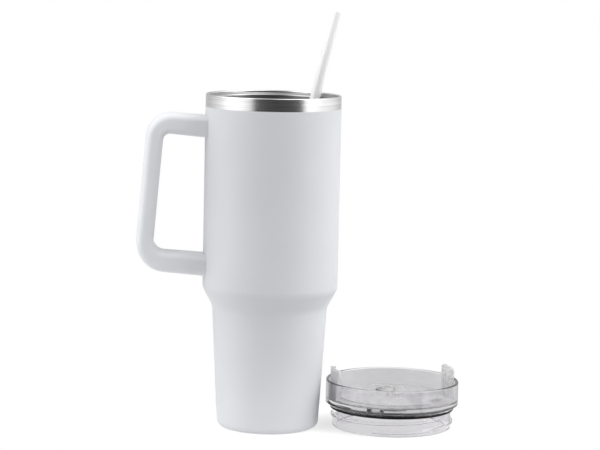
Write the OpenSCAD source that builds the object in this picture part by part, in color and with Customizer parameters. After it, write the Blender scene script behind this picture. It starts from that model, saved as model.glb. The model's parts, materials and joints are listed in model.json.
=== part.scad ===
// Insulated tumbler with a side handle, a straw and a screw-in lid that stands beside it.
// The axis of the cup is Z, and the underside of its foot is z = 0.

/* [Cup] */
// Height of the cup, to the top of its lip
cup_h = 247; // [200:1:300]
// Outer diameter of the upper body
upper_d = 100; // [90:0.5:122]
// Diameter of the lower body where the shoulder starts
shoulder_d = 85.3; // [70:0.1:89]
// Diameter of the lower body at the foot, before its edge is rounded
foot_d = 75.2; // [62:0.1:84]
// Height at which the shoulder reaches the upper body
shoulder_top = 104; // [84:1:126]
// Height of the shoulder
shoulder_h = 13.5; // [9:0.5:24]
// Blend radius at both ends of the shoulder
shoulder_r = 10; // [7:0.5:12]
// Radius of the foot's edge
foot_r = 5; // [3:0.5:7]
// Radius of the corner between the inside floor and wall
floor_corner_r = 6; // [3:0.5:6]

/* [Walls] */
// Outer wall with its powder coat
shell_t = 0.75; // [0.5:0.05:1.2]
// Powder coat, which stops below the bare mouth ring
coat_t = 0.15; // [0.08:0.01:0.3]
// Inner wall
liner_t = 0.6; // [0.4:0.05:0.8]
// Vacuum space between the two walls
vacuum_gap = 2.25; // [1.6:0.05:3]
// Extra height of the vacuum space under the inside floor
floor_gap = 6; // [5:0.5:10]
// Copper foil around the inner wall
foil_t = 0.2; // [0.1:0.05:0.4]
// Height of the bare mouth ring
band_h = 9.5; // [8:0.5:16]
// Radius of the lip
lip_r = 0.9; // [0.8:0.05:1.1]
// Depth over which the mouth flares out to the lip
flare_h = 4; // [3:0.5:6]

/* [Base] */
// Thickness of the base plate
base_t = 0.8; // [0.6:0.05:1.2]
// Width of the welded lap between the base plate and the shell
weld_lap = 1.6; // [1:0.1:1.8]
// Radius of the dimple around the evacuation port
dimple_r = 8; // [6:0.5:12]
// Height of the dimple
dimple_h = 2.25; // [1.6:0.05:3]
// Radius of the evacuation port
port_r = 1.5; // [1:0.1:2]
// Radius of the glass bead that seals the port
bead_r = 3.5; // [2.5:0.1:5]
// Height of the glass bead below the port
bead_h = 1.2; // [0.8:0.1:1.4]
// Radius of the getter
getter_r = 5; // [3:0.5:6]
// Height of the getter
getter_h = 2.2; // [1.5:0.1:3]

/* [Handle] */
// Direction in which the handle points
handle_az = 185.5; // [170:0.5:190]
// Tilt of the whole handle: its arms rise outwards and its foot stands farther out
handle_tilt = 4.6; // [0:0.1:8]
// Distance from the mouth ring's lower edge down to the upper arm's middle
arm_drop = 14.5; // [12:0.5:24]
// Distance from the shoulder up to the lower arm's middle
arm_rise = 17; // [14:0.5:30]
// Distance from the cup's wall to the grip's outer face
grip_reach = 46.4; // [38:0.1:58]
// Width of the handle
handle_w = 26; // [22:0.5:32]
// Thickness of the grip
grip_t = 12.3; // [11.5:0.1:16]
// Thickness of an arm at the grip
arm_tip_t = 14.5; // [13:0.1:17]
// Thickness of an arm at the cup
arm_root_t = 15.7; // [15:0.1:18]
// Radius of the handle's long edges
edge_r = 5; // [4:0.1:5.5]
// Outer corner radius, top
outer_top_r = 18.5; // [12:0.5:20]
// Outer corner radius, bottom
outer_low_r = 21.5; // [12:0.5:24]
// Inner corner radius, top
inner_top_r = 5; // [3:0.5:8]
// Inner corner radius, bottom
inner_low_r = 9; // [5:0.5:12]
// Thickness of the moulded skin over the handle's core
skin_t = 2.2; // [1.5:0.1:2.6]

/* [Brackets] */
// Length of a bracket's tongue, from the cup's wall
tongue_l = 15; // [13:0.5:18]
// Width of the tongue
tongue_w = 12; // [10:0.5:14]
// Thickness of the tongue
tongue_t = 5; // [4:0.5:5]
// Width of the welded foot of a bracket
weld_foot_w = 18; // [14:0.5:18]
// Height of the welded foot
weld_foot_h = 9; // [6:0.5:9]
// Thickness of the welded foot
weld_foot_t = 1.5; // [1:0.1:2]
// Distance of a handle screw from the cup's wall
screw_x = 9; // [7:0.5:10]
// Radius of a screw's shank
screw_r = 2; // [1.5:0.1:2.5]
// Radius of a screw's head
screw_head_r = 3.5; // [3:0.1:4]
// Height of a screw's head
screw_head_h = 2.4; // [2:0.1:2.6]
// Depth of the head's lower face inside the arm
screw_sink = 0.4; // [0.2:0.1:0.6]
// Room around a screw's head
screw_room = 0.2; // [0.1:0.05:0.4]

/* [Straw] */
// Outer diameter of the straw
straw_d = 7.5; // [6:0.1:9.2]
// Wall of the straw
straw_t = 1; // [0.6:0.1:1.5]
// Length of the straw
straw_l = 308; // [260:1:330]
// Direction from the cup's axis to the straw's foot
straw_foot_az = 196.5; // [160:0.5:220]
// Direction from the cup's axis to the straw where it leaves the cup
straw_rim_az = 42.5; // [20:0.5:60]
// Room between the straw's foot and the floor's corner
straw_foot_room = 2.4; // [2.2:0.1:8]
// Room between the straw and the mouth's wall
straw_rim_room = 0.2; // [0.1:0.1:6]
// Gap that keeps the straw off the floor
straw_gap = 0.3; // [0.3:0.1:1]

/* [Lid] */
// Direction from the cup's axis to the lid
lid_az = 5.4; // [0:0.1:12]
// Gap between the lid and the lower body
lid_gap = 4.2; // [4:0.1:20]
// Height of the lid's ring
lid_h = 35; // [33:0.5:42]
// How far the lid's ring stays inside the upper body's outline
lid_inset = 0.5; // [0.2:0.1:2]
// Wall of the lid's ring
ring_t = 2.2; // [1.8:0.1:2.4]
// Underside of the lid's floor
lid_floor_z = 18; // [17:0.5:19]
// Thickness of the lid's floor
lid_floor_t = 3; // [2.8:0.1:3.5]
// Height of the lower end of the ring's seat
seat_z = 15.2; // [14.6:0.1:16]
// Height of the ring's lower edge
ring_z = 17.9; // [17:0.1:18.5]
// Gap between the skirt's threads and the mouth's wall
thread_room = 0.8; // [0.6:0.1:1]
// Depth of a thread
thread_depth = 1.4; // [1:0.05:1.6]
// Pitch of the thread
thread_pitch = 6.6; // [5:0.1:7.2]
// Depth of the gasket's groove under the thread's root
groove_depth = 0.8; // [0.5:0.1:1]
// Wall of the skirt behind the groove
skirt_t = 1.8; // [1.4:0.1:2.4]
// Height of the gasket
gasket_h = 4.2; // [3.6:0.1:5]
// Half angle of the drink slot
slot_half = 11; // [8:0.5:14]
// Inner radius of the drink slot
slot_r1 = 33; // [30:0.5:34]
// Outer radius of the drink slot
slot_r2 = 39; // [36:0.5:39]
// Direction of the drink slot
slot_az = 271; // [260:1:285]
// Width of the slot's seal
seal_w = 1.6; // [1.2:0.1:2]
// Depth of the slot's seal in the lid's floor
seal_depth = 1; // [0.8:0.1:1.4]
// How far the seal stands proud
seal_proud = 0.2; // [0.1:0.05:0.25]

/* [Rotary cover] */
// Travel of the cover from its straw position to its drink position
cover_travel = 60; // [50:1:70]
// Gap between the cover and the lid's floor
cover_gap = 0.3; // [0.3:0.05:0.6]
// Gap between the cover's edge and the lid's ring
cover_room = 0.8; // [0.5:0.1:1.2]
// Thickness of the cover
cover_t = 1.8; // [1.5:0.1:2.2]
// Depth of the step around the cover
cover_step = 0.8; // [0.4:0.1:1]
// Width of the step around the cover
cover_step_w = 6.5; // [5:0.1:7]
// Direction of the first ear tab
tab_az = 12; // [5:1:15]
// Width of an ear tab
tab_w = 25; // [18:0.5:26]
// Distance from the cover's edge to a tab's inner face
tab_t = 4.2; // [3:0.1:5]
// Distance from the cover's edge to a tab's outer face
tab_setback = 0.3; // [0.2:0.1:0.8]
// Height of the tabs above the lid's ring
tab_rise = 8.5; // [4:0.5:10]
// Radius of a tab's top corners
tab_r = 6; // [3:0.5:8]
// Radius of the grip ribs on a tab
rib_r = 0.8; // [0.5:0.1:1]
// Distance of the straw hole from the lid's axis
straw_hole_x = 19; // [16:0.5:21]
// Direction of the straw hole
straw_hole_az = 101; // [95:1:110]
// Radius of the straw hole in the cover
straw_hole_r = 6; // [5.8:0.1:7]
// Gap between the grommet and a straw
grommet_gap = 0.1; // [0.05:0.05:0.3]
// Radius of the grommet's flange
grommet_flange_r = 7.6; // [7.2:0.1:9]
// Height of the grommet's flange
grommet_flange_h = 1; // [0.8:0.1:1.5]
// Height of the grommet
grommet_h = 4; // [4:0.1:7]
// Radius of the pivot pin
pin_r = 4; // [3:0.1:4.5]
// Radius of the pin's head
pin_head_r = 5.3; // [5:0.1:6.5]
// Running gap around the pin
pin_gap = 0.05; // [0.03:0.01:0.1]
// Thickness of the retaining clip
clip_t = 0.8; // [0.6:0.1:1.2]
// Radius of the retaining clip
clip_r = 6.5; // [5.5:0.1:8]
// Width of the pivot seal
pivot_seal_w = 1.5; // [1:0.1:1.6]
// Direction of the stop lug
lug_az = 205; // [190:1:225]
// Distance of the stop lug from the lid's axis
lug_x = 30; // [26:0.5:34]
// Width of the stop lug
lug_w = 2.4; // [2:0.1:3]
// Half angle of the stop lug
lug_half = 4; // [3:0.5:6]
// Depth of the stop lug's groove
lug_groove = 1.5; // [1.2:0.1:1.7]

/* [Hidden] */
$fn = 96;

coat_colour = [0.91, 0.91, 0.92];
steel_colour = [0.72, 0.73, 0.74];
grip_colour = [0.87, 0.88, 0.89];
clear_colour = [0.86, 0.87, 0.88, 0.5];
frosted_colour = [0.88, 0.89, 0.9, 0.8];

// Margins for cuts, and steps of the curves
cut = 1;
arc_steps = 8;
flare_steps = 8;
section_steps = 5;
helix_step = 10;

// Cup
upper_r = upper_d / 2;
wall = shell_t + vacuum_gap + liner_t;
mouth_r = upper_r - wall;
shoulder_low = shoulder_top - shoulder_h;
band_z = cup_h - band_h;
liner_top = cup_h - flare_h;
floor_z = floor_gap + wall;
foil_top = band_z - 12;
base_plate_r = foot_d / 2 - foot_r;
base_open_r = base_plate_r - weld_lap;
getter_x = base_open_r * 0.62;
floor_fillet = floor_corner_r + wall;
function lower_r(z) = foot_d / 2 + z * (shoulder_d - foot_d) / 2 / shoulder_low;
shell_corners = [[base_open_r, 0, 0], [foot_d / 2, 0, foot_r], [shoulder_d / 2, shoulder_low, shoulder_r],
                 [upper_r, shoulder_top, shoulder_r], [upper_r, band_z, 0]];
function liner_corners(top) =
    [[0, floor_gap, 0], [lower_r(floor_gap), floor_gap, floor_fillet],
     [shoulder_d / 2, shoulder_low, shoulder_r], [upper_r, shoulder_top, shoulder_r], [upper_r, top, 0]];

// Thread, shared by the lid's skirt and the inner wall
crest_r = mouth_r - thread_room;
root_r = crest_r - thread_depth;
groove_r = root_r - groove_depth;
bead_depth = thread_room + thread_depth / 2;
thread_base_w = 2.6;
thread_crest_w = 1.2;
thread_sunk = 0.35;
thread_fade = 30;
lid_thread_z = 5;
lid_thread_from = -120;
lid_thread_to = 330;
wall_thread_from = 150;
wall_thread_to = 480;
wall_thread_drop = 8;
wall_thread_z = cup_h - wall_thread_drop - thread_pitch * wall_thread_to / 360;

// Handle
arm_top_z = band_z - arm_drop;
arm_low_z = shoulder_top + arm_rise;
handle_mid_z = (arm_top_z + arm_low_z) / 2;
arm_half = (arm_top_z - arm_low_z) / 2 * cos(handle_tilt);
arm_bury = 4;

// Straw
straw_r = straw_d / 2;
straw_foot_r = lower_r(floor_gap) - wall - straw_r - straw_foot_room;
straw_rim_r = mouth_r - straw_r - straw_rim_room;
straw_foot_xy = straw_foot_r * [cos(straw_foot_az), sin(straw_foot_az)];
straw_rim_xy = straw_rim_r * [cos(straw_rim_az), sin(straw_rim_az)];
straw_lean = straw_rim_xy - straw_foot_xy;
straw_tilt = atan2(norm(straw_lean), cup_h - floor_z);
straw_foot_z = floor_z + straw_gap + straw_r * sin(straw_tilt);
straw_foot = [straw_foot_xy[0], straw_foot_xy[1], straw_foot_z];

// Lid
lid_r = upper_r - lid_inset;
ring_in_r = lid_r - ring_t;
lid_x = lower_r(lid_h) + lid_gap + lid_r;
lid_floor_top = lid_floor_z + lid_floor_t;
skirt_in_r = groove_r - skirt_t;
gasket_r = mouth_r;
gasket_z = lid_floor_z - gasket_h;
skirt_chamfer = 1;
slab_straw_hole_r = 5.5;

// Rotary cover
cover_r = ring_in_r - cover_room;
cover_z = lid_floor_top + cover_gap;
cover_top = cover_z + cover_t;
tab_top = lid_h + tab_rise;
clip_z = lid_floor_z - 0.5 - clip_t;
pin_low = clip_z - 1.4;
pin_neck_r = pin_r - 0.8;
pivot_seal_h = 1.4;
seal_room = 0.1;
lug_room = 0.4;
tab_ribs = 4;
rib_rise = 2;
rib_pitch = 4.4;

// Plane geometry: a corner is [x, y, radius], and a path keeps its inside on its left.
function unit(v) = v / norm(v);
function left(v) = [-v[1], v[0]];
function spot(c) = [c[0], c[1]];
function turn(u, v) = u[0] * v[1] - u[1] * v[0];
function turned(v, a) = [v[0] * cos(a) - v[1] * sin(a), v[0] * sin(a) + v[1] * cos(a)];
function flip(path) = [for (i = [len(path) - 1:-1:0]) path[i]];

// A corner of a path after the whole path has moved d to its left
function moved_corner(a, b, c, d) =
    let (n = left(unit(b - a)), m = left(unit(c - b)), p = b + d * (n + m) / (1 + n * m))
    [p[0], p[1]];

function moved_path(cs, d) =
    [for (i = [0:len(cs) - 1])
        let (b = spot(cs[i]), first = i == 0, last = i == len(cs) - 1)
        first ? let (p = b + d * left(unit(spot(cs[1]) - b))) [p[0], p[1], 0]
        : last ? let (p = b + d * left(unit(b - spot(cs[i - 1])))) [p[0], p[1], 0]
        : let (a = spot(cs[i - 1]), c = spot(cs[i + 1]), p = moved_corner(a, b, c, d))
          [p[0], p[1], cs[i][2] - d * sign(turn(b - a, c - b))]];

// The points of a rounded corner b between a and c
function rounded(a, b, c, r) =
    let (u = unit(a - b), v = unit(c - b), half = acos(u * v) / 2,
         from = b + u * r / tan(half), centre = b + unit(u + v) * r / sin(half),
         sweep = (180 - 2 * half) * sign(turn(b - a, c - b)))
    [for (k = [0:arc_steps]) centre + turned(from - centre, sweep * k / arc_steps)];

function rounded_path(cs) =
    [for (i = [0:len(cs) - 1])
        each i == 0 || i == len(cs) - 1 ? [spot(cs[i])]
            : rounded(spot(cs[i - 1]), spot(cs[i]), spot(cs[i + 1]), cs[i][2])];

function wall_path(cs, d) = rounded_path(moved_path(cs, d));

// A sheet between two distances inside a path, turned about Z
module spun_sheet(cs, d1, d2) {
    rotate_extrude() polygon(concat(wall_path(cs, d1), flip(wall_path(cs, d2))));
}

module ring(r1, r2, z1, z2) {
    rotate_extrude() translate([r1, z1]) square([r2 - r1, z2 - z1]);
}

// A piece of a ring that spans half angles each side of az
module arc_block(r1, r2, z1, z2, az, half) {
    rotate([0, 0, az - half]) rotate_extrude(angle = 2 * half)
        translate([r1, z1]) square([r2 - r1, z2 - z1]);
}

// A helical rib on a wall, out or in to a crest, which fades in at both ends. z0 is its height at angle 0.
module helix_rib(wall_radius, crest_radius, z0, from, to) {
    count = ceil((to - from) / helix_step);
    outward = sign(crest_radius - wall_radius);
    rings = [for (i = [0:count])
        let (a = from + (to - from) * i / count, fade = min(1, (a - from) / thread_fade, (to - a) / thread_fade),
             z = z0 + thread_pitch * a / 360, tip = wall_radius + (crest_radius - wall_radius) * fade,
             back = wall_radius - outward * thread_sunk, w = thread_base_w / 2, c = thread_crest_w / 2)
        each [for (p = [[back, z - w], [tip, z - c], [tip, z + c], [back, z + w]])
            [p[0] * cos(a), p[0] * sin(a), p[1]]]];
    side_faces = [for (i = [0:count - 1], k = [0:3])
        let (a = 4 * i + k, b = 4 * i + (k + 1) % 4)
        each outward > 0 ? [[a, b, a + 4], [b, b + 4, a + 4]] : [[a, a + 4, b], [b, a + 4, b + 4]]];
    last = 4 * count;
    start_faces = outward > 0 ? [[0, 2, 1], [0, 3, 2]] : [[0, 1, 2], [0, 2, 3]];
    end_faces = outward > 0 ? [[last, last + 1, last + 2], [last, last + 2, last + 3]]
                            : [[last, last + 2, last + 1], [last, last + 3, last + 2]];
    polyhedron(rings, concat(side_faces, start_faces, end_faces));
}

// Cup

module outer_shell() {
    color(coat_colour) spun_sheet(shell_corners, 0, shell_t);
}

module mouth_ring() {
    out_r = upper_r - coat_t;
    leg_r = upper_r - shell_t;
    lip_in = out_r - 2 * lip_r;
    lip = [for (k = [0:arc_steps])
        [out_r - lip_r, cup_h - lip_r] + lip_r * [cos(180 * k / arc_steps), sin(180 * k / arc_steps)]];
    drop = flare_h - lip_r;
    flare = [for (k = [1:flare_steps])
        let (t = k / flare_steps) [mouth_r + (lip_in - mouth_r) * (1 + cos(180 * t)) / 2, cup_h - lip_r - drop * t]];
    back = [for (k = [flare_steps:-1:3]) flare[k - 1] + [liner_t, 0]];
    roof_z = back[len(back) - 1][1];
    color(steel_colour) rotate_extrude()
        polygon(concat([[out_r, band_z]], lip, flare, back, [[leg_r, roof_z], [leg_r, band_z]]));
}

module inner_liner() {
    color(steel_colour) {
        spun_sheet(liner_corners(liner_top), wall - liner_t, wall);
        helix_rib(mouth_r, mouth_r - bead_depth, wall_thread_z, wall_thread_from, wall_thread_to);
    }
}

module radiation_shield() {
    color("peru") spun_sheet(liner_corners(foil_top), wall - liner_t - foil_t, wall - liner_t);
}

module shell_base() {
    plate_z = shell_t;
    color(steel_colour) rotate_extrude() polygon([
        [port_r, plate_z + dimple_h], [dimple_r - dimple_h, plate_z + dimple_h], [dimple_r, plate_z],
        [base_plate_r, plate_z], [base_plate_r, plate_z + base_t], [dimple_r + base_t / 2, plate_z + base_t],
        [dimple_r - dimple_h + base_t / 2, plate_z + dimple_h + base_t], [port_r, plate_z + dimple_h + base_t]]);
}

module seal_bead() {
    port_z = shell_t + dimple_h;
    color("darkslategray") rotate_extrude() polygon([
        [0, port_z - bead_h], [bead_r * 0.7, port_z - bead_h], [bead_r, port_z - bead_h / 2], [bead_r, port_z],
        [port_r, port_z], [port_r, port_z + base_t], [0, port_z + base_t]]);
}

module getter() {
    color("dimgray") translate([getter_x, 0, shell_t + base_t]) difference() {
        cylinder(r = getter_r, h = getter_h);
        translate([0, 0, getter_h / 2]) cylinder(r = getter_r * 0.7, h = getter_h);
    }
}

module base_cover() {
    edge = shell_t / 3;
    color(steel_colour) rotate_extrude() polygon([
        [0, 0], [base_open_r - edge, 0], [base_open_r, edge], [base_open_r, shell_t], [0, shell_t]]);
}

// Handle

// The handle's own frame: x out from the cup's wall along the arms, z along the grip
module handle_frame() {
    rotate([0, 0, handle_az]) translate([upper_r, 0, handle_mid_z]) rotate([0, -handle_tilt, 0]) children();
}

// Where the cup's wall crosses the middle of the upper (side = 1) or lower (side = -1) arm
function wall_x(side) = side * arm_half * tan(handle_tilt);

// Half the thickness of an arm at x
function arm_half_t(side, x) =
    (arm_root_t + (arm_tip_t - arm_root_t) * (x - wall_x(side)) / (grip_reach - wall_x(side))) / 2;

// The end of an arm's edge inside the cup's wall, above (edge = 1) or below (edge = -1) its middle
function arm_end(side, edge, bury) =
    let (x = wall_x(side) - bury) [x, side * arm_half + edge * arm_half_t(side, x), 0];

function handle_outer(bury) =
    [arm_end(-1, -1, bury), [grip_reach, -arm_half - arm_half_t(-1, grip_reach), outer_low_r],
     [grip_reach, arm_half + arm_half_t(1, grip_reach), outer_top_r], arm_end(1, 1, bury)];
function handle_inner(bury) =
    let (x = grip_reach - grip_t)
    [arm_end(-1, 1, bury), [x, -arm_half + arm_half_t(-1, x), inner_low_r],
     [x, arm_half - arm_half_t(1, x), inner_top_r], arm_end(1, -1, bury)];

// A rounded section from point a to point b of the side view, w wide
function section(a, b, w, r) =
    let (mid = (a + b) / 2, half = norm(b - a) / 2, along = unit(b - a))
    [for (q = [0:3], k = [0:section_steps])
        let (angle = 90 * q + 90 * k / section_steps,
             s = (q == 0 || q == 3 ? 1 : -1) * (half - r) + r * cos(angle),
             y = (q < 2 ? 1 : -1) * (w / 2 - r) + r * sin(angle), p = mid + along * s)
        [p[0], y, p[1]]];

// The handle's bar with its whole surface moved in by d
module bar(d, bury) {
    a = wall_path(handle_outer(bury), d);
    b = wall_path(handle_inner(bury), -d);
    per = 4 * (section_steps + 1);
    points = [for (i = [0:len(a) - 1]) each section(a[i], b[i], handle_w - 2 * d, edge_r - d)];
    sides = [for (i = [0:len(a) - 2], k = [0:per - 1])
        let (p = per * i + k, q = per * i + (k + 1) % per)
        each [[p, q, p + per], [q, q + per, p + per]]];
    last = per * (len(a) - 1);
    caps = [[for (k = [per - 1:-1:0]) k], [for (k = [0:per - 1]) last + k]];
    polyhedron(points, concat(sides, caps));
}

module cup_body() {
    cylinder(r = upper_r, h = cup_h);
}

// The frame of one arm: its origin is where the cup's wall crosses the arm's middle
module arm_frame(side) {
    handle_frame() translate([wall_x(side), 0, side * arm_half]) children();
}

// A block that starts inside the cup's wall and ends at x = length in an arm's frame
module arm_block(side, length, width, height) {
    arm_frame(side) translate([-arm_bury, -width / 2, -height / 2]) cube([length + arm_bury, width, height]);
}

module bracket_solid(side) {
    difference() {
        union() {
            arm_block(side, tongue_l, tongue_w, tongue_t);
            intersection() {
                arm_block(side, arm_bury, weld_foot_w, weld_foot_h);
                cylinder(r = upper_r + weld_foot_t, h = cup_h);
            }
        }
        cup_body();
    }
}

// Heights in an arm's frame: its underside at the screw, the seat of the screw's head, and the screw's end
function arm_under(side) = -arm_half_t(side, wall_x(side) + screw_x);
function screw_seat(side) = arm_under(side) + screw_sink + screw_head_h;
screw_end = tongue_t / 2;

module screw_solid(side) {
    arm_frame(side) translate([screw_x, 0, 0]) difference() {
        union() {
            translate([0, 0, screw_seat(side) - screw_head_h]) cylinder(r = screw_head_r, h = screw_head_h);
            translate([0, 0, screw_seat(side)]) cylinder(r = screw_r, h = screw_end - screw_seat(side));
        }
        translate([0, 0, screw_seat(side) - screw_head_h - cut])
            cylinder(r = screw_r * 0.7, h = screw_head_h * 0.6 + cut, $fn = 6);
    }
}

// The hole that a screw needs in the handle
module screw_hole(side) {
    arm_frame(side) translate([screw_x, 0, 0]) {
        translate([0, 0, screw_seat(side) - screw_head_h - 2 * cut])
            cylinder(r = screw_head_r + screw_room, h = screw_head_h + 2 * cut);
        translate([0, 0, screw_seat(side) - cut]) cylinder(r = screw_r, h = screw_end - screw_seat(side) + 2 * cut);
    }
}

module tapped_bracket(side) {
    color(steel_colour) difference() {
        bracket_solid(side);
        screw_hole(side);
    }
}

module upper_bracket() {
    tapped_bracket(1);
}

module lower_bracket() {
    tapped_bracket(-1);
}

module upper_screw() {
    color("silver") screw_solid(1);
}

module lower_screw() {
    color("silver") screw_solid(-1);
}

module handle_core() {
    color("gainsboro") difference() {
        handle_frame() bar(skin_t, arm_bury);
        cup_body();
        for (side = [-1, 1]) {
            bracket_solid(side);
            screw_hole(side);
        }
    }
}

module handle_grip() {
    color(grip_colour) difference() {
        handle_frame() bar(0, arm_bury);
        handle_frame() bar(skin_t, arm_bury + cut);
        cup_body();
        for (side = [-1, 1]) screw_hole(side);
    }
}

// Straw

module straw() {
    rim = [straw_rim_xy[0], straw_rim_xy[1], cup_h];
    along = unit(rim - straw_foot);
    color([0.95, 0.95, 0.95, 0.7]) translate(straw_foot)
        rotate([0, acos(along[2]), atan2(along[1], along[0])]) difference() {
            cylinder(r = straw_r, h = straw_l);
            translate([0, 0, -cut]) cylinder(r = straw_r - straw_t, h = straw_l + 2 * cut);
        }
}

// Lid

module at_lid() {
    translate([lid_x * cos(lid_az), lid_x * sin(lid_az), 0]) children();
}

module slot_cut(r1, r2, z1, z2, az, extra) {
    arc_block(r1 - extra, r2 + extra, z1, z2, az, slot_half + extra * 180 / (PI * (r1 + r2) / 2));
}

module straw_place(turn_angle) {
    rotate([0, 0, straw_hole_az + turn_angle]) translate([straw_hole_x, 0, 0]) children();
}

module lid_shape() {
    rim = ring_t / 2;
    lip = [for (k = [0:arc_steps])
        [lid_r - rim, lid_h - rim] + rim * [cos(180 * k / arc_steps), sin(180 * k / arc_steps)]];
    rotate_extrude() polygon(concat(
        [[skirt_in_r, 0], [root_r - skirt_chamfer, 0], [root_r, skirt_chamfer], [root_r, gasket_z],
         [groove_r, gasket_z], [groove_r, lid_floor_z], [gasket_r, lid_floor_z], [gasket_r, seat_z],
         [lid_r, ring_z]],
        lip,
        [[ring_in_r, lid_floor_top], [0, lid_floor_top], [0, lid_floor_z], [skirt_in_r, lid_floor_z]]));
}

module lid_body() {
    color(clear_colour) at_lid() difference() {
        union() {
            lid_shape();
            helix_rib(root_r, crest_r, lid_thread_z, lid_thread_from, lid_thread_to);
        }
        translate([0, 0, lid_floor_z - cut]) cylinder(r = pin_r + pin_gap, h = lid_floor_t + 2 * cut);
        translate([0, 0, lid_floor_top - pivot_seal_h - 2 * seal_room])
            cylinder(r = pin_r + pivot_seal_w + seal_room, h = pivot_seal_h + cut);
        slot_cut(slot_r1, slot_r2, lid_floor_z - cut, lid_floor_top + cut, slot_az, 0);
        slot_cut(slot_r1, slot_r2, lid_floor_top - seal_depth, lid_floor_top + cut, slot_az, seal_w);
        straw_place(0) translate([0, 0, lid_floor_z - cut])
            cylinder(r = slab_straw_hole_r, h = lid_floor_t + 2 * cut);
        arc_block(lug_x - lug_w / 2 - lug_room, lug_x + lug_w / 2 + lug_room, lid_floor_top - lug_groove,
                  lid_floor_top + cut, lug_az - cover_travel / 2, cover_travel / 2 + lug_half + 1);
    }
}

module lid_gasket() {
    bulge = gasket_h / 8;
    color([0.08, 0.08, 0.09]) at_lid() rotate_extrude() polygon([
        [groove_r, gasket_z], [gasket_r - bulge, gasket_z], [gasket_r, gasket_z + bulge], [gasket_r, lid_floor_z],
        [groove_r, lid_floor_z]]);
}

module slot_seal() {
    low = lid_floor_top - seal_depth;
    color([0.85, 0.86, 0.87]) at_lid() difference() {
        slot_cut(slot_r1, slot_r2, low, lid_floor_top + seal_proud, slot_az, seal_w);
        slot_cut(slot_r1, slot_r2, low - cut, lid_floor_top + seal_proud + cut, slot_az, 0);
    }
}

// Rotary cover

module tab(az) {
    in_r = cover_r - tab_t;
    half = tab_w / 2;
    low = cover_z + (cover_t - cover_step) / 2;
    outline = rounded_path([[half, low, 0], [half, tab_top, tab_r], [-half, tab_top, tab_r], [-half, low, 0]]);
    rotate([0, 0, az]) {
        intersection() {
            ring(in_r, cover_r - tab_setback, low, tab_top + cut);
            rotate([90, 0, 90]) linear_extrude(cover_r + cut) polygon(outline);
        }
        for (k = [0:tab_ribs - 1])
            rotate([0, 0, (k - (tab_ribs - 1) / 2) * rib_pitch * 180 / (PI * in_r)])
                translate([in_r, 0, low]) cylinder(r = rib_r, h = tab_top - tab_r + rib_rise - low);
    }
}

module cover_disc() {
    step_r = cover_r - cover_step_w;
    color(frosted_colour) at_lid() difference() {
        union() {
            rotate_extrude() polygon([
                [0, cover_z], [cover_r, cover_z], [cover_r, cover_top - cover_step], [step_r, cover_top - cover_step],
                [step_r, cover_top], [0, cover_top]]);
            tab(tab_az);
            tab(tab_az + 180);
            arc_block(lug_x - lug_w / 2, lug_x + lug_w / 2, lid_floor_top - lug_groove + cover_gap, cover_z + cut / 2,
                      lug_az, lug_half);
        }
        translate([0, 0, cover_z - cut]) cylinder(r = pin_r, h = cover_t + 2 * cut);
        translate([0, 0, cover_top - (pin_head_r - pin_r)])
            cylinder(r1 = pin_r, r2 = pin_head_r, h = pin_head_r - pin_r);
        straw_place(0) translate([0, 0, cover_z - cut]) cylinder(r = straw_hole_r, h = cover_t + 2 * cut);
        slot_cut(slot_r1, slot_r2, cover_z - cut, cover_top + cut, slot_az + cover_travel, 0);
    }
}

module straw_grommet() {
    bore_r = straw_r + grommet_gap;
    collar_r = bore_r + 1.6;
    chamfer = 0.5;
    color([0.93, 0.93, 0.94]) at_lid() straw_place(0) rotate_extrude() polygon([
        [bore_r, cover_z], [straw_hole_r, cover_z], [straw_hole_r, cover_top], [grommet_flange_r, cover_top],
        [grommet_flange_r, cover_top + grommet_flange_h - chamfer],
        [grommet_flange_r - chamfer, cover_top + grommet_flange_h], [collar_r, cover_top + grommet_flange_h],
        [collar_r, cover_z + grommet_h - chamfer], [collar_r - chamfer, cover_z + grommet_h],
        [bore_r, cover_z + grommet_h]]);
}

module pivot_pin() {
    head = pin_head_r - pin_r;
    color("silver") at_lid() rotate_extrude() polygon([
        [0, pin_low], [pin_r - 0.5, pin_low], [pin_r, pin_low + 0.5], [pin_r, clip_z], [pin_neck_r, clip_z],
        [pin_neck_r, clip_z + clip_t], [pin_r, clip_z + clip_t], [pin_r, cover_top - head], [pin_head_r, cover_top],
        [0, cover_top]]);
}

module pivot_clip() {
    color("silver") at_lid() difference() {
        ring(pin_neck_r, clip_r, clip_z, clip_z + clip_t);
        translate([0, -pin_neck_r / 2, clip_z - cut]) cube([clip_r + cut, pin_neck_r, clip_t + 2 * cut]);
    }
}

module pivot_seal() {
    low = lid_floor_top - pivot_seal_h - seal_room;
    corner = pivot_seal_w / 4;
    color([0.1, 0.1, 0.1]) at_lid() rotate_extrude() polygon([
        [pin_r, low], [pin_r + pivot_seal_w - corner, low], [pin_r + pivot_seal_w, low + corner],
        [pin_r + pivot_seal_w, low + pivot_seal_h - corner], [pin_r + pivot_seal_w - corner, low + pivot_seal_h],
        [pin_r, low + pivot_seal_h]]);
}

outer_shell();
mouth_ring();
inner_liner();
radiation_shield();
shell_base();
getter();
seal_bead();
base_cover();
upper_bracket();
lower_bracket();
handle_core();
handle_grip();
upper_screw();
lower_screw();
straw();
lid_body();
lid_gasket();
slot_seal();
cover_disc();
straw_grommet();
pivot_pin();
pivot_clip();
pivot_seal();
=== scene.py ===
"""Looks of a stepped insulated tumbler with a side handle, a straw and a clear screw-in lid.

Every length is in metres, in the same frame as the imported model: +Z up along the cup's axis, the handle
towards -X, the lid at +X and the front towards -Y.
"""

import json
import logging
import math
from dataclasses import dataclass, field
from enum import Enum
from typing import Iterable, Sequence

import bmesh
import bpy
from bmesh.types import BMEdge, BMesh, BMFace, BMVert
from mathutils import Matrix, Vector


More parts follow.
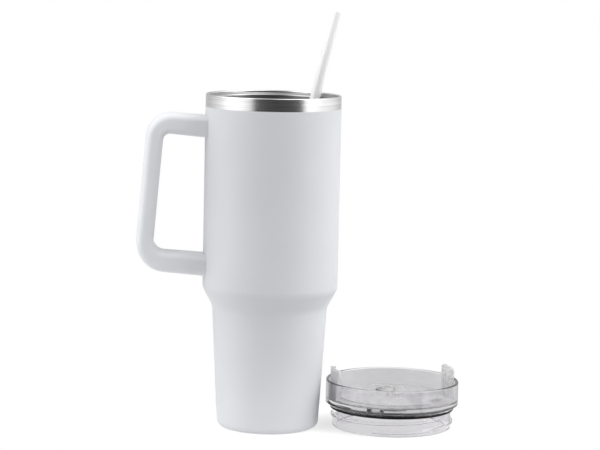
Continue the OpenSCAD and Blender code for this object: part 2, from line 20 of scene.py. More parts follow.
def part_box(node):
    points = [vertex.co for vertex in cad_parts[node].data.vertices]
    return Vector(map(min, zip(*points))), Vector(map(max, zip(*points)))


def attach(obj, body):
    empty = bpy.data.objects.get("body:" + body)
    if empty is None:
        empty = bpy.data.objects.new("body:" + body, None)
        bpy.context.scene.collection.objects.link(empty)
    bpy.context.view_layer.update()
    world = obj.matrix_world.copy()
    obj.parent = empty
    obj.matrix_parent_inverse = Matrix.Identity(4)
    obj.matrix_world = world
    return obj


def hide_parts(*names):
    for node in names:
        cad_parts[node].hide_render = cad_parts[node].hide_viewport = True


log = logging.getLogger("tumbler")

MM = 0.001
ROUND = 2 * math.pi
ORIGIN = Vector((0, 0, 0))
UP = Vector((0, 0, 1))
WELD = 1e-6
SHARP = math.radians(32)
CREASE = math.radians(60)
FACE_WEIGHT = 50
ROUND_STEPS = 192
SMALL_STEPS = 64
THREAD_STEP = 4.0
THREAD_FADE = 30.0

Corner = tuple[float, float, float]
Span = tuple[float, float]


# Shader graphs


class Wire:
    """One output socket, with arithmetic that adds Math nodes to its graph."""

    def __init__(self, graph: "Graph", socket: bpy.types.NodeSocket) -> None:
        """Keeps the graph and the socket."""
        self.graph = graph
        self.socket = socket

    def _math(self, operation: str, first: "Value", second: "Value") -> "Wire":
        """One Math node on two values."""
        return self.graph.node("ShaderNodeMath", {"operation": operation}, {0: first, 1: second})

    def __add__(self, other: "Value") -> "Wire":
        """Sum."""
        return self._math("ADD", self, other)

    def __radd__(self, other: "Value") -> "Wire":
        """Sum, from the right."""
        return self._math("ADD", other, self)

    def __sub__(self, other: "Value") -> "Wire":
        """Difference."""
        return self._math("SUBTRACT", self, other)

    def __rsub__(self, other: "Value") -> "Wire":
        """Difference, from the right."""
        return self._math("SUBTRACT", other, self)

    def __mul__(self, other: "Value") -> "Wire":
        """Product."""
        return self._math("MULTIPLY", self, other)

    def __rmul__(self, other: "Value") -> "Wire":
        """Product, from the right."""
        return self._math("MULTIPLY", other, self)

    def smooth(self, low: float, high: float, to_low: float = 0.0, to_high: float = 1.0) -> "Wire":
        """Smooth step of this value.

        Args:
            low: The value where the step starts.
            high: The value where the step ends.
            to_low: The result below low.
            to_high: The result above high.

        Returns:
            The stepped value.
        """
        return self.graph.node(
            "ShaderNodeMapRange",
            {"interpolation_type": "SMOOTHSTEP"},
            {"Value": self, "From Min": low, "From Max": high, "To Min": to_low, "To Max": to_high},
            "Result",
        )


Value = Wire | float | Sequence[float]


class Graph:
    """The node tree of a material or of the world, filled by one method."""

    def __init__(self, owner: bpy.types.Material | bpy.types.World) -> None:
        """Clears the owner's tree.

        Args:
            owner: The material or world whose nodes are made.
        """
        owner.use_nodes = True
        self.tree = owner.node_tree
        self.tree.nodes.clear()

    def node(self, kind: str, settings: dict, inputs: dict, output: int | str = 0) -> Wire:
        """Adds one node.

        Args:
            kind: The node's type.
            settings: Properties that are set before the sockets, such as a Math node's operation.
            inputs: Socket names or numbers, with a value or a Wire for each.
            output: The name or number of the output to return.

        Returns:
            The chosen output as a Wire.
        """
        made = self.tree.nodes.new(kind)
        for name, value in settings.items():
            setattr(made, name, value)
        for key, value in inputs.items():
            socket = made.inputs[key]
            if isinstance(value, Wire):
                self.tree.links.new(value.socket, socket)
            else:
                socket.default_value = value
        return Wire(self, made.outputs[output])

    def place(self, scale: Sequence[float] = (1, 1, 1), move: Sequence[float] = (0, 0, 0)) -> Wire:
        """Object coordinates, moved and scaled.

        Args:
            scale: Pattern units per metre along X, Y and Z.
            move: What is added after the scale.

        Returns:
            The coordinates.
        """
        spot = self.node("ShaderNodeTexCoord", {}, {}, "Object")
        return self.node("ShaderNodeMapping", {}, {"Vector": spot, "Scale": scale, "Location": move})

    def noise(self, spot: Wire, scale: float = 1.0, detail: float = 2.0, rough: float = 0.5) -> Wire:
        """Soft noise from 0 to 1.

        Args:
            spot: Where the noise is read.
            scale: Its frequency.
            detail: Its number of finer layers.
            rough: How strong the finer layers are.

        Returns:
            The noise value.
        """
        return self.node(
            "ShaderNodeTexNoise", {}, {"Vector": spot, "Scale": scale, "Detail": detail, "Roughness": rough}
        )

    def blend(self, share: Value, first: Value, second: Value) -> Wire:
        """A colour between two colours.

        Args:
            share: 0 for the first colour, 1 for the second.
            first: The first colour.
            second: The second colour.

        Returns:
            The mixed colour.
        """
        return self.node(
            "ShaderNodeMix", {"data_type": "RGBA", "clamp_factor": True}, {0: share, 6: first, 7: second}, 2
        )

    def vector(self, operation: str, first: Value, second: Value | None = None) -> Wire:
        """One Vector Math node; its number where it measures, and its vector otherwise.

        Args:
            operation: The node's operation.
            first: The first vector.
            second: The second vector, where the operation takes one.

        Returns:
            The result.
        """
        inputs = {0: first} if second is None else {0: first, 1: second}
        output = "Value" if operation in ("LENGTH", "DOT_PRODUCT") else "Vector"
        return self.node("ShaderNodeVectorMath", {"operation": operation}, inputs, output)

    def bump(self, height: Wire, strength: float, depth: float) -> Wire:
        """A surface normal from a height.

        Args:
            height: The height, from 0 to 1.
            strength: How much of the bump is used.
            depth: The height of a full bump, in metres.

        Returns:
            The normal.
        """
        return self.node("ShaderNodeBump", {}, {"Height": height, "Strength": strength, "Distance": depth})

    def surface(self, **sockets: Value) -> None:
        """Ends a material with a Principled shader.

        Args:
            **sockets: The shader's sockets, with underscores for spaces.
        """
        named = {name.replace("_", " "): value for name, value in sockets.items()}
        shader = self.node("ShaderNodeBsdfPrincipled", {}, named)
        self.node_end("ShaderNodeOutputMaterial", shader)

    def node_end(self, kind: str, shader: Wire) -> None:
        """Adds the output node and links the shader to it."""
        end = self.tree.nodes.new(kind)
        self.tree.links.new(shader.socket, end.inputs["Surface"])


def grey(level: float, tint: Sequence[float] = (0, 0, 0)) -> tuple[float, float, float, float]:
    """A near-grey colour.

    Args:
        level: The grey, linear.
        tint: What is added to red, green and blue.

    Returns:
        The colour with full alpha.
    """
    return (level + tint[0], level + tint[1], level + tint[2], 1.0)


# Finishes


MIDDLE: Span = (0.3, 0.7)  # the noise values between which a mottling goes from its dark to its light grey


class Finish:
    """A procedural finish that makes its material once."""

    name: str = "finish"
    level: float = 0.5
    tint: tuple[float, float, float] = (0.0, 0.0, 0.0)

    def material(self) -> bpy.types.Material:
        """The material, made on first use.

        Returns:
            The material.
        """
        made = bpy.data.materials.get(self.name)
        if made is None:
            made = bpy.data.materials.new(self.name)
            self.paint(Graph(made))
        return made

    def paint(self, graph: Graph) -> None:
        """Fills the material's graph."""
        raise NotImplementedError

    def mottle(self, graph: Graph, share: Value, spread: float) -> Wire:
        """The finish's near-grey colour, a little darker and a little lighter.

        Args:
            graph: The graph that the colour is made in.
            share: 0 for the darker grey, 1 for the lighter one.
            spread: How far the two greys are from the finish's own.

        Returns:
            The mottled colour.
        """
        return graph.blend(share, grey(self.level - spread, self.tint), grey(self.level + spread, self.tint))


@dataclass(frozen=True)
class PowderCoat(Finish):
    """A fine matt powder coat with a faint orange peel."""

    name: str = "powder_coat_white"
    level: float = 0.545
    tint: tuple[float, float, float] = (-0.010, 0.0, 0.020)
    rough: float = 0.48
    grain: float = 1100.0
    peel: float = 260.0
    cloud: float = 14.0
    spread: float = 0.012
    sheen_change: float = 0.12
    index: float = 1.47
    relief: float = 0.35
    depth: float = 0.00012

    def paint(self, graph: Graph) -> None:
        """A speckled height in two sizes, and a faint mottling in colour and gloss.

        Args:
            graph: The material's graph.
        """
        spot = graph.place()
        fine = graph.noise(spot, self.grain, 2.0, 0.6)
        broad = graph.noise(spot, self.peel, 1.0)
        cloud = graph.noise(spot, self.cloud, 2.0)
        height = 0.6 * fine + 0.4 * broad
        graph.surface(
            Base_Color=self.mottle(graph, cloud.smooth(*MIDDLE), self.spread),
            Roughness=self.rough + self.sheen_change * (fine - 0.5),
            IOR=self.index,
            Normal=graph.bump(height, self.relief, self.depth),
        )


class Lay(Enum):
    """Which way a brushed steel's lines run."""

    LEVEL = "level"
    TURNED = "turned"
    DRAWN = "drawn"


@dataclass(frozen=True)
class BrushedSteel(Finish):
    """Stainless steel with fine brushing lines."""

    name: str = "brushed_band_steel"
    lay: Lay = Lay.LEVEL
    level: float = 0.65
    rough: float = 0.24
    lines: float = 2600.0
    contrast: float = 0.10
    relief: float = 0.10
    tint: tuple[float, float, float] = (0.0, 0.0, 0.004)
    along: float = 9.0
    broader: float = 0.15
    broad_at: tuple[float, float, float] = (3.1, 1.7, 0.4)
    turned_broader: float = 0.12
    turned_along: Span = (40.0, 12.0)
    sheen_change: float = 0.22
    depth: float = 0.00005

    def spots(self, graph: Graph) -> tuple[Wire, Wire]:
        """Coordinates that are squeezed across the brushing lines.

        Args:
            graph: The graph that they are made in.

        Returns:
            The coordinates of the fine lines and of the broad ones.
        """
        if self.lay is Lay.TURNED:
            spot = graph.node("ShaderNodeTexCoord", {}, {}, "Object")
            radius = graph.vector("LENGTH", graph.vector("MULTIPLY", spot, (1, 1, 0)))
            height = graph.node("ShaderNodeSeparateXYZ", {}, {0: spot}, "Z")
            across = (radius + height) * self.lines
            fine_along, broad_along = self.turned_along
            fine = graph.node("ShaderNodeCombineXYZ", {}, {0: across, 1: radius * fine_along})
            squeezed = {0: across * self.turned_broader, 1: radius * broad_along}
            return fine, graph.node("ShaderNodeCombineXYZ", {}, squeezed)
        level = self.lay is Lay.LEVEL
        scale = (self.along, self.along, self.lines) if level else (self.lines, self.lines, self.along)
        broad_scale = tuple(value * (self.broader if value == self.lines else 1.0) for value in scale)
        return graph.place(scale), graph.place(broad_scale, self.broad_at)

    def paint(self, graph: Graph) -> None:
        """Lines in two sizes set the colour, the gloss and a shallow relief.

        Args:
            graph: The material's graph.
        """
        fine_spot, broad_spot = self.spots(graph)
        fine = graph.noise(fine_spot, 1.0, 3.0, 0.7)
        broad = graph.noise(broad_spot, 1.0, 2.0)
        lines = 0.65 * fine + 0.35 * broad
        graph.surface(
            Base_Color=graph.blend(
                lines.smooth(*MIDDLE),
                grey(self.level - self.contrast, self.tint),
                grey(self.level + self.contrast * 0.6, self.tint),
            ),
            Metallic=1.0,
            Roughness=self.rough + self.sheen_change * (lines - 0.5),
            Normal=graph.bump(lines, self.relief, self.depth),
        )


@dataclass(frozen=True)
class MouldedPlastic(Finish):
    """A satin moulded plastic with a fine spark-eroded grain."""

    name: str = "satin_handle_skin"
    level: float = 0.655
    tint: tuple[float, float, float] = (-0.010, 0.0, 0.022)
    rough: float = 0.36
    grain: float = 1500.0
    flow: tuple[float, float, float] = (9.0, 9.0, 26.0)
    spread: float = 0.01
    index: float = 1.5
    relief: float = 0.25
    depth: float = 0.00005

    def paint(self, graph: Graph) -> None:
        """Fine grain in gloss and height, with slow flow marks in the colour.

        Args:
            graph: The material's graph.
        """
        fine = graph.noise(graph.place(), self.grain, 2.0)
        flow = graph.noise(graph.place(self.flow), 1.0, 2.0)
        graph.surface(
            Base_Color=self.mottle(graph, flow.smooth(*MIDDLE), self.spread),
            Roughness=self.rough + 0.10 * (fine - 0.5) + 0.06 * (flow - 0.5),
            IOR=self.index,
            Normal=graph.bump(fine, self.relief, self.depth),
        )


@dataclass(frozen=True)
class ClearPlastic(Finish):
    """Clear glossy copolyester with faint handling marks."""

    name: str = "clear_lid_plastic"
    level: float = 0.85
    tint: tuple[float, float, float] = (0.0, -0.012, 0.012)
    rough: float = 0.03
    clear: float = 1.0
    haze: float = 0.05
    index: float = 1.50
    gloss: float = 0.22
    spread: float = 0.01
    marks: float = 60.0
    waves: float = 45.0
    relief: float = 0.10
    depth: float = 0.0002

    def paint(self, graph: Graph) -> None:
        """Handling marks in the colour and gloss, and slow waves in the height.

        Args:
            graph: The material's graph.
        """
        spot = graph.place()
        marks = graph.noise(spot, self.marks, 3.0)
        waves = graph.noise(spot, self.waves, 1.0)
        graph.surface(
            Base_Color=self.mottle(graph, marks, self.spread),
            Roughness=self.rough + self.haze * marks.smooth(0.5, 0.8),
            IOR=self.index,
            Specular_IOR_Level=self.gloss,
            Transmission_Weight=self.clear,
            Normal=graph.bump(waves, self.relief, self.depth),
        )


@dataclass(frozen=True)
class FrostedPlastic(Finish):
    """A translucent plastic with an even, fine frosting."""

    name: str = "frosted_cover_plastic"
    level: float = 0.90
    rough: float = 0.26
    clear: float = 0.62
    index: float = 1.44
    grain: float = 1800.0
    cloud: float = 35.0
    spread: float = 0.015
    light_tint: tuple[float, float, float] = (0.0, 0.0, 0.004)
    relief: float = 0.2
    depth: float = 0.00006

    def paint(self, graph: Graph) -> None:
        """Frosting that varies a little, and a fine grain.

        Args:
            graph: The material's graph.
        """
        spot = graph.place()
        grain = graph.noise(spot, self.grain, 2.0)
        cloud = graph.noise(spot, self.cloud, 2.0)
        light = grey(self.level + self.spread, self.light_tint)
        graph.surface(
            Base_Color=graph.blend(cloud, grey(self.level - self.spread), light),
            Roughness=self.rough + 0.12 * (cloud - 0.5) + 0.08 * (grain - 0.5),
            IOR=self.index,
            Transmission_Weight=self.clear,
            Normal=graph.bump(grain, self.relief, self.depth),
        )


@dataclass(frozen=True)
class Silicone(Finish):
    """Soft silicone rubber with a dusty satin skin."""

    name: str = "black_seal_silicone"
    level: float = 0.006
    rough: float = 0.55
    clear: float = 0.0
    specks: float = 900.0
    cloud: float = 55.0
    dust: float = 0.006
    dust_tint: tuple[float, float, float] = (0.0, 0.0, 0.002)
    index: float = 1.41
    gloss: float = 0.10
    relief: float = 0.2
    depth: float = 0.00008

    def paint(self, graph: Graph) -> None:
        """Dust-like specks in the colour, and a satin gloss.

        Args:
            graph: The material's graph.
        """
        spot = graph.place()
        specks = graph.noise(spot, self.specks, 3.0, 0.7)
        cloud = graph.noise(spot, self.cloud, 2.0)
        dusty = grey(self.level * 1.3 + self.dust, self.dust_tint)
        graph.surface(
            Base_Color=graph.blend(specks.smooth(0.45, 0.8), grey(self.level), dusty),
            Roughness=self.rough + 0.2 * (cloud - 0.5),
            IOR=self.index,
            Specular_IOR_Level=self.gloss,
            Transmission_Weight=self.clear,
            Normal=graph.bump(specks, self.relief, self.depth),
        )


@dataclass(frozen=True)
class ThinMetal(Finish):
    """Foil, pressed powder or solder glass: a crinkled or grainy skin with a sheen."""

    name: str = "copper_foil_wrap"
    dark: tuple[float, float, float] = (0.72, 0.40, 0.27)
    light: tuple[float, float, float] = (0.90, 0.58, 0.42)
    metallic: float = 1.0
    rough: float = 0.22
    size: float = 150.0
    relief: float = 0.5
    depth: float = 0.0002

    def paint(self, graph: Graph) -> None:
        """Creases or grains in colour, gloss and height.

        Args:
            graph: The material's graph.
        """
        crease = graph.noise(graph.place(), self.size, 3.0, 0.6)
        graph.surface(
            Base_Color=graph.blend(crease.smooth(*MIDDLE), (*self.dark, 1.0), (*self.light, 1.0)),
            Metallic=self.metallic,
            Roughness=self.rough + 0.15 * (crease - 0.5),
            Normal=graph.bump(crease, self.relief, self.depth),
        )


BAND_STEEL = BrushedSteel()
# The liner's grey level of 0.34, about half that of the other steels, is painted shade for the inside of the
# cup
LINER_STEEL_PAINTED_SHADE = BrushedSteel("satin_liner_steel_painted_shade", Lay.TURNED, 0.34, 0.30, 1500.0, 0.05, 0.06)
BASE_STEEL = BrushedSteel("spun_base_steel", Lay.TURNED, 0.68, 0.28, 2200.0, 0.08, 0.10)
SHEET_STEEL = BrushedSteel("drawn_sheet_steel", Lay.DRAWN, 0.60, 0.35, 700.0, 0.06, 0.05)
BRIGHT_STEEL = BrushedSteel("bright_turned_steel", Lay.LEVEL, 0.70, 0.16, 1800.0, 0.05, 0.04)
COAT = PowderCoat()
SKIN = MouldedPlastic()
CORE = MouldedPlastic("plain_core_plastic", 0.66, (0, 0, 0), 0.5, 700.0)
CLEAR = ClearPlastic()
FROSTED = FrostedPlastic()
STRAW_PLASTIC = FrostedPlastic("translucent_straw_plastic", 0.90, 0.34, 0.14, 1.45, 2200.0)
BLACK_RUBBER = Silicone()
CLEAR_RUBBER = Silicone("translucent_seal_silicone", 0.92, 0.34, 0.7)
FOIL = ThinMetal()
GETTER_POWDER = ThinMetal("getter_powder", (0.10, 0.10, 0.105), (0.22, 0.22, 0.23), 0.6, 0.65, 900.0)
SOLDER_GLASS = ThinMetal("solder_glass", (0.05, 0.06, 0.07), (0.10, 0.11, 0.13), 0.0, 0.12, 240.0, 0.2)


# Meshes


def fresh(bm: BMesh) -> BMesh:
    """Merges doubles and turns the faces outwards.

    Args:
        bm: The mesh.

    Returns:
        The same mesh.
    """
    bmesh.ops.remove_doubles(bm, verts=bm.verts, dist=WELD)
    bmesh.ops.recalc_face_normals(bm, faces=bm.faces)
    return bm


def soften(bm: BMesh, geom: list[BMVert | BMEdge], offset: float, steps: int, affect: str = "EDGES") -> None:
    """Rounds edges or corners with a circular bevel.

    Args:
        bm: The mesh that holds them.
        geom: The edges or corners.
        offset: How far the round reaches from each.
        steps: The number of facets on it.
        affect: EDGES or VERTICES.
    """
    bmesh.ops.bevel(
        bm,
        geom=geom,
        offset=offset,
        offset_type="OFFSET",
        segments=steps,
        profile=0.5,
        affect=affect,
        material=-1,
    )


def chain(corners: Sequence[Corner], closed: bool, centre: Vector = ORIGIN, steps: int = 8) -> BMesh:
    """A chain of edges in the X-Z plane with rounded corners.

    Args:
        corners: Distance from the centre, height and radius of each corner.
        closed: Whether the last corner joins the first.
        centre: The point that the distances start from.
        steps: The number of facets on each round.

    Returns:
        The mesh that holds the chain.
    """
    bm = bmesh.new()
    verts = [bm.verts.new((centre.x + r, centre.y, z)) for r, z, _ in corners]
    ends = zip(verts, verts[1:] + verts[:1]) if closed else zip(verts, verts[1:])
    for first, second in ends:
        bm.edges.new((first, second))
    for vert, (_, _, radius) in zip(verts, corners):
        if radius > 0:
            a, b = (edge.other_vert(vert).co - vert.co for edge in vert.link_edges)
            soften(bm, [vert], radius * math.tan((math.pi - a.angle(b)) / 2), steps, "VERTICES")
    return bm


def turned(
    corners: Sequence[Corner],
    closed: bool = False,
    centre: Vector = ORIGIN,
    steps: int = ROUND_STEPS,
    facets: int = 8,
) -> BMesh:
    """A full turn of a chain about an upright axis.

    Args:
        corners: The chain's corners: radius, height and rounding.
        closed: Whether the chain is a ring.
        centre: A point on the axis.
        steps: Facets around the axis.
        facets: Facets on each rounded corner.

    Returns:
        The turned mesh.
    """
    bm = chain(corners, closed, centre, facets)
    bmesh.ops.spin(
        bm, geom=bm.verts[:] + bm.edges[:], cent=centre, axis=UP, angle=ROUND, steps=steps, use_merge=True
    )
    return fresh(bm)


def arc_block(
    centre: Vector, radii: Span, heights: Span, azimuth: float, half: float, steps: int = 16
) -> BMesh:
    """A block that is bent round an upright axis.

    Args:
        centre: A point on the axis.
        radii: The inner and outer radius.
        heights: The lower and upper height.
        azimuth: The direction of its middle, in degrees.
        half: Half of its angle, in degrees.
        steps: Facets along the bend.

    Returns:
        The closed block.
    """
    (inner, outer), (low, high) = radii, heights
    bm = chain([(inner, low, 0), (outer, low, 0), (outer, high, 0), (inner, high, 0)], True, centre)
    turn = Matrix.Rotation(math.radians(azimuth - half), 3, "Z")
    bmesh.ops.rotate(bm, cent=centre, matrix=turn, verts=bm.verts)
    bmesh.ops.spin(
        bm, geom=bm.verts[:] + bm.edges[:], cent=centre, axis=UP, angle=math.radians(2 * half), steps=steps
    )
    bmesh.ops.holes_fill(bm, edges=bm.edges, sides=0)
    return fresh(bm)


def rod(centre: Vector, radius: float, heights: Span, steps: int = 48, edge: float = 0.0) -> BMesh:
    """An upright closed rod.

    Args:
        centre: A point on its axis.
        radius: Its radius.
        heights: Its lower and upper end.
        steps: Facets around it.
        edge: The radius of its edges.

    Returns:
        The closed rod.
    """
    low, high = heights
    side = [(0, low, 0), (radius, low, edge), (radius, high, edge), (0, high, 0)]
    return turned(side, False, centre, steps, 3)


def helix_rib(
    centre: Vector, section: Sequence[Span], start_z: float, pitch: float, turns: Span, root: float
) -> BMesh:
    """A screw thread's rib that runs out at both ends.

    Args:
        centre: A point on the axis.
        section: Radius and height of the section's corners, about the rib's middle.
        start_z: The height of the rib's middle at 0 degrees.
        pitch: The rise of one turn.
        turns: The first and last angle, in degrees.
        root: The radius that the rib sinks to at its ends.

    Returns:
        The closed rib.
    """
    count = round((turns[1] - turns[0]) / THREAD_STEP)
    bm = chain([(r, z + start_z + pitch * turns[0] / 360, 0.0) for r, z in section], True, centre)
    bmesh.ops.rotate(bm, cent=centre, matrix=Matrix.Rotation(math.radians(turns[0]), 3, "Z"), verts=bm.verts)
    rings, edges = [bm.verts[:]], bm.edges[:]
    turn = Matrix.Rotation(math.radians(THREAD_STEP), 3, "Z")
    rise = Vector((0, 0, pitch * THREAD_STEP / 360))
    for _ in range(count):
        made = bmesh.ops.extrude_edge_only(bm, edges=edges)["geom"]
        ring = [item for item in made if isinstance(item, BMVert)]
        edges = [item for item in made if isinstance(item, BMEdge)]
        bmesh.ops.rotate(bm, cent=centre, matrix=turn, verts=ring)
        bmesh.ops.translate(bm, vec=rise, verts=ring)
        rings.append(ring)
    for index, ring in enumerate(rings):
        share = min(1.0, min(index, count - index) * THREAD_STEP / THREAD_FADE)
        height = share * share * (3 - 2 * share)
        for vert in ring:
            flat = Vector((vert.co.x - centre.x, vert.co.y - centre.y, 0))
            vert.co += flat.normalized() * ((root - flat.length) * (1 - height))
    bmesh.ops.holes_fill(bm, edges=bm.edges, sides=0)
    bmesh.ops.recalc_face_normals(bm, faces=bm.faces)
    return bm


def mirrored(half: Sequence[Span]) -> list[Span]:
    """A rib's whole section from its lower half, each point a radius and a height."""
    return [*half, *((r, -z) for r, z in reversed(half))]


def as_mesh(bm: BMesh, name: str) -> bpy.types.Mesh:
    """A Blender mesh from a bmesh, which is freed.

    Args:
        bm: The bmesh.
        name: The new mesh's name.

    Returns:
        The mesh.
    """
    mesh = bpy.data.meshes.new(name)
    bm.to_mesh(mesh)
    bm.free()
    return mesh


def carved(
    body: BMesh,
    cuts: Iterable[BMesh] = (),
    joins: Iterable[BMesh] = (),
    skin: float = 0.0,
) -> BMesh:
    """A body with other solids joined to it and cut from it.

    Args:
        body: The closed body, or an open surface where it gets a skin.
        cuts: The solids that are cut away, after the joins.
        joins: The solids that are joined to it.
        skin: The thickness that an open surface gets inwards, or 0.

    Returns:
        The finished solid.
    """
    scene = bpy.context.scene.collection
    host = bpy.data.objects.new("work", as_mesh(body, "work"))
    scene.objects.link(host)
    tools = []
    if skin:
        wall = host.modifiers.new("wall", "SOLIDIFY")
        wall.thickness, wall.offset, wall.use_even_offset = skin, -1.0, True
    for kind, solids in (("UNION", joins), ("DIFFERENCE", cuts)):
        for solid in solids:
            tool = bpy.data.objects.new("tool", as_mesh(solid, "tool"))
            scene.objects.link(tool)
            tools.append(tool)
            step = host.modifiers.new(kind.lower(), "BOOLEAN")
            step.operation, step.object, step.solver = kind, tool, "EXACT"
    bpy.context.view_layer.update()
    result = host.evaluated_get(bpy.context.evaluated_depsgraph_get()).to_mesh()
    bm = bmesh.new()
    bm.from_mesh(result)
    for item in (host, *tools):
        mesh = item.data
        bpy.data.objects.remove(item)
        bpy.data.meshes.remove(mesh)
    bmesh.ops.remove_doubles(bm, verts=bm.verts, dist=WELD)
    bmesh.ops.dissolve_degenerate(bm, dist=WELD, edges=bm.edges)
    return bm


def piece(
    name: str,
    bm: BMesh,
    finish: Finish,
    body: str,
    stands_for: str | None = None,
    wall: float = 0.0,
) -> bpy.types.Object:
    """Turns a mesh into a finished piece of the object.

    Args:
        name: The piece's name.
        bm: Its mesh, in place.
        finish: Its finish.
        body: The body that it rides on.
        stands_for: The CAD node that it replaces.
        wall: The wall that it gets inwards, or 0 for a closed mesh.

    Returns:
        The piece.
    """
    for face in bm.faces:
        face.smooth = True
    for edge in bm.edges:
        edge.smooth = len(edge.link_faces) == 2 and edge.calc_face_angle(0) < SHARP
    mesh = as_mesh(bm, name)
    made = bpy.data.objects.new(name, mesh)
    bpy.context.scene.collection.objects.link(made)
    if wall:
        skin = made.modifiers.new("wall", "SOLIDIFY")
        skin.thickness, skin.offset, skin.use_even_offset = wall, -1.0, True
    shading = made.modifiers.new("shading", "WEIGHTED_NORMAL")
    shading.mode, shading.weight, shading.keep_sharp = "FACE_AREA", FACE_WEIGHT, True
    mesh.materials.append(finish.material())
    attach(made, body)
    if stands_for:
        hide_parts(stands_for)
    log.info("%s: %d faces on %s", name, len(mesh.polygons), body)
    return made


def dress(node: str, finish: Finish) -> None:
    """Gives a CAD node that stays in view its finish.

    Args:
        node: The node's name.
        finish: The finish that it gets.
    """
    made = FRAME["nodes"][node]
    made.data.materials.clear()
    made.data.materials.append(finish.material())
    log.info("%s: CAD node dressed", node)


def middle(node: str) -> Vector:
    """The middle of a CAD node's box."""
    low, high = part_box(node)
    return (low + high) / 2


def span_z(node: str) -> tuple[float, float]:
    """The lowest and highest point of a CAD node."""
    low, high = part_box(node)
    return low.z, high.z


# The object


@dataclass
class CupBody:
    """The coated outer wall, the bare brushed mouth, the inner wall and the base."""

    upper_r: float = 50.0 * MM
    shoulder_r: float = 42.65 * MM
    foot_r: float = 37.6 * MM
    shoulder_top: float = 104.0 * MM
    shoulder_low: float = 90.5 * MM
    shoulder_round: float = 10.0 * MM
    foot_round: float = 5.0 * MM
    shell_wall: float = 0.75 * MM
    coat: float = 0.15 * MM
    inner_wall: float = 0.6 * MM
    wall: float = 3.6 * MM
    floor_round: float = 6.0 * MM
    lip: float = 0.88 * MM
    lip_drop: float = 1.6 * MM
    bead_rise: float = 6.6 * MM
    bead_depth: float = 1.5 * MM
    bead_half: float = 1.5 * MM
    bead_sunk: float = 0.3 * MM
    bead_drop: float = 8.0 * MM
    bead_turns: Span = (150.0, 480.0)
    coat_edge: float = 0.14 * MM
    base_edge: float = 0.2 * MM
    base_lift: float = 0.25 * MM
    base_step: Span = (0.62, 0.66)
    base_soft: float = 0.5 * MM
    body: str = "tumbler"

    def lower_r(self, z: float) -> float:
        """The radius of the lower body's straight wall at a height."""
        return self.foot_r + z * (self.shoulder_r - self.foot_r) / self.shoulder_low

    def build(self) -> None:
        """Builds the cup's visible pieces and dresses its hidden ones."""
        self.coated_wall()
        self.brushed_mouth()
        self.steel_inside()
        self.base()
        dress("radiation_shield", FOIL)
        dress("shell_base", SHEET_STEEL)
        dress("getter", GETTER_POWDER)
        dress("seal_bead", SOLDER_GLASS)

    def coated_wall(self) -> None:
        """The stepped outer wall, with the coat's rolled edge at the band."""
        low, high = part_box("outer_shell")
        _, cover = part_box("base_cover")
        path = [
            (cover.x, low.z, 0),
            (self.foot_r, low.z, self.foot_round),
            (self.shoulder_r, self.shoulder_low, self.shoulder_round),
            (self.upper_r, self.shoulder_top, self.shoulder_round),
            (self.upper_r, high.z, self.coat_edge),
            (self.upper_r - self.coat - 0.1 * MM, high.z, 0),
        ]
        bm = turned(path, facets=16)
        piece("coated_wall", bm, COAT, self.body, "outer_shell", self.shell_wall)

    def brushed_mouth(self) -> None:
        """The bare band and its rolled lip."""
        (_, _, low), (_, _, high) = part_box("mouth_ring")
        out_r, lip = self.upper_r - self.coat, self.lip
        path = [
            (out_r, low, 0),
            (out_r, high, lip),
            (out_r - 2 * lip, high, lip),
            (out_r - 2 * lip, high - self.lip_drop, 0),
        ]
        bm = turned(path)
        piece("brushed_mouth", bm, BAND_STEEL, self.body, "mouth_ring", self.inner_wall)

    def steel_inside(self) -> None:
        """The inner wall from its rounded floor to the flare under the lip, and the rolled thread."""
        low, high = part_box("inner_liner")
        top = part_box("mouth_ring")[1].z
        floor = low.z + self.inner_wall
        mouth_r = self.upper_r - self.wall
        lip_r, lip_z = self.upper_r - self.coat - 2 * self.lip, top - self.lip_drop
        path = [
            (0, floor, 0),
            (self.lower_r(floor) - self.wall, floor, self.floor_round),
            (self.shoulder_r - self.wall, self.shoulder_low, self.shoulder_round),
            (mouth_r, self.shoulder_top, self.shoulder_round),
            (mouth_r, high.z + 0.7 * MM, 1.4 * MM),
            (lip_r, lip_z - 0.2 * MM, 0.6 * MM),
            (lip_r, lip_z, 0),
        ]
        wall = turned(path, facets=10)
        bmesh.ops.reverse_faces(wall, faces=wall.faces)
        # The inner wall and its rolled thread take the darker liner steel, whose low grey is painted shade
        piece("steel_inside", wall, LINER_STEEL_PAINTED_SHADE, self.body, "inner_liner", self.inner_wall)
        start = top - self.bead_drop - self.bead_rise * self.bead_turns[1] / 360
        root = mouth_r + self.bead_sunk
        half = [
            (root, -self.bead_half),
            (mouth_r - 0.2 * MM, -1.3 * MM),
            (mouth_r - 0.9 * MM, -0.95 * MM),
            (mouth_r - self.bead_depth, -0.4 * MM),
        ]
        bead = helix_rib(ORIGIN, mirrored(half), start, self.bead_rise, self.bead_turns, root)
        piece("rolled_thread", bead, LINER_STEEL_PAINTED_SHADE, self.body)

    def base(self) -> None:
        """The round cover under the foot, with a shallow pressed ring."""
        low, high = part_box("base_cover")
        inner, outer = (share * high.x for share in self.base_step)
        path = [
            (0, low.z + self.base_lift, 0),
            (inner, low.z + self.base_lift, self.base_soft),
            (outer, low.z, self.base_soft),
            (high.x, low.z, self.base_edge),
            (high.x, high.z, 0),
            (0, high.z, 0),
        ]
        piece("base_disc", turned(path, facets=3), BASE_STEEL, self.body, "base_cover")


